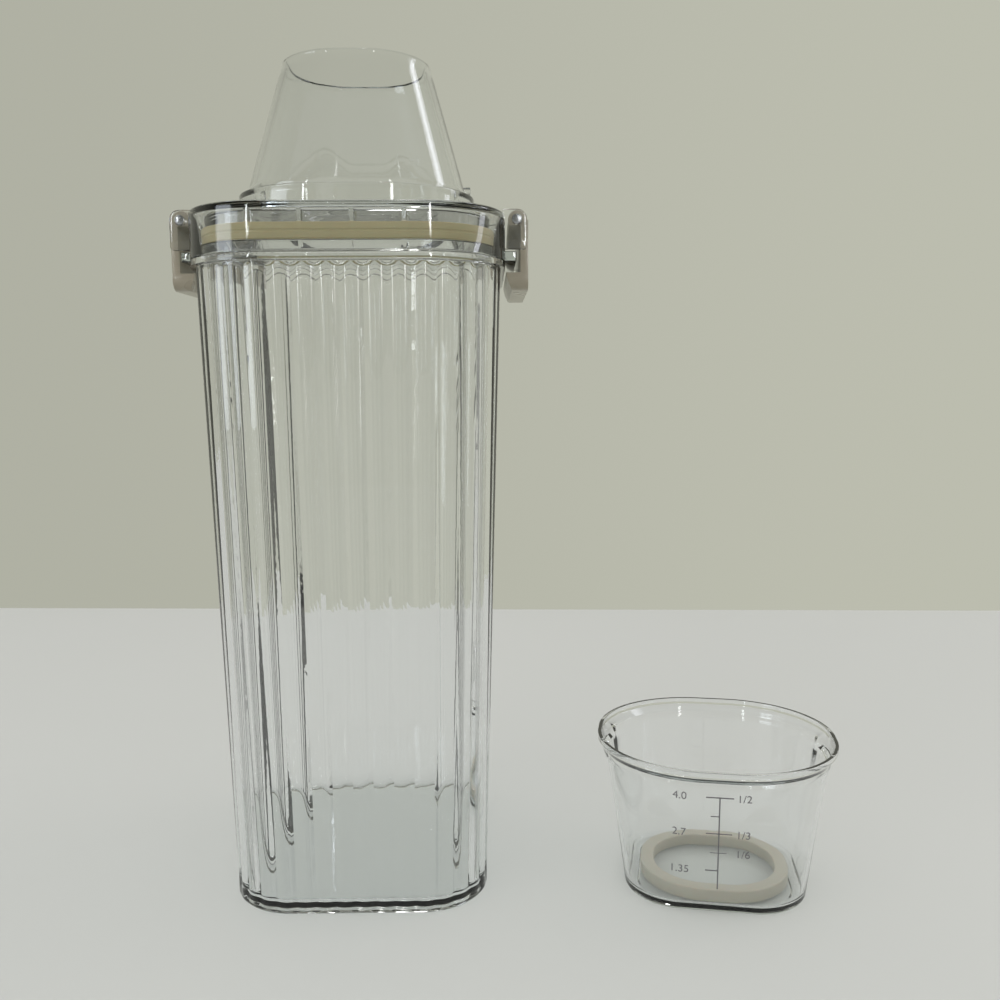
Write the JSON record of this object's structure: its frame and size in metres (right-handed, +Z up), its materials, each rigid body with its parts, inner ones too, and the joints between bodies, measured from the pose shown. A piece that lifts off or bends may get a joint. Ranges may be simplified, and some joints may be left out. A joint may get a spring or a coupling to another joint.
{
  "type": "food storage container",
  "caption": "Tall tapered clear food container with reeded walls, a side-latched lid with an open pouring spout, and a loose measuring cup that caps the spout.",
  "frame": {"origin": "centre of the container's base, on the table that it stands on", "axes": "+Z up along the container's height, -Y towards the front, +X towards the loose measuring cup"},
  "size_m": [0.2087, 0.1133, 0.264],
  "materials": {
    "clear_plastic": "clear polished styrene",
    "seal_silicone": "soft matt silicone",
    "latch_plastic": "satin moulded plastic",
    "pin_steel": "drawn wire"
  },
  "bodies": {
    "container": {"container_body": "clear_plastic"},
    "lid": {"lid": "clear_plastic", "lid_seal": "seal_silicone", "pour_spout": "clear_plastic", "hinge_pin_left": "pin_steel", "hinge_pin_right": "pin_steel"},
    "latch_left": {"latch_left": "latch_plastic"},
    "latch_right": {"latch_right": "latch_plastic"},
    "cup": {"measuring_cup": "clear_plastic", "cup_seal": "seal_silicone"}
  },
  "joints": [
    {"name": "lid_lift", "type": "slide", "parent": "container", "child": "lid", "axis": [0, 0, 1], "range_m": [0, 0.06]},
    {"name": "latch_left_hinge", "type": "hinge", "parent": "lid", "child": "latch_left", "pos_m": [-0.0508, 0, 0.2119], "axis": [0, 1, 0], "range_deg": [-4.5, 115]},
    {"name": "latch_right_hinge", "type": "hinge", "parent": "lid", "child": "latch_right", "pos_m": [0.0508, 0, 0.2119], "axis": [0, -1, 0], "range_deg": [-4.5, 115]},
    {"name": "cup_lift", "type": "slide", "parent": "container", "child": "cup", "axis": [0, 0, 1], "range_m": [0, 0.1]}
  ]
}
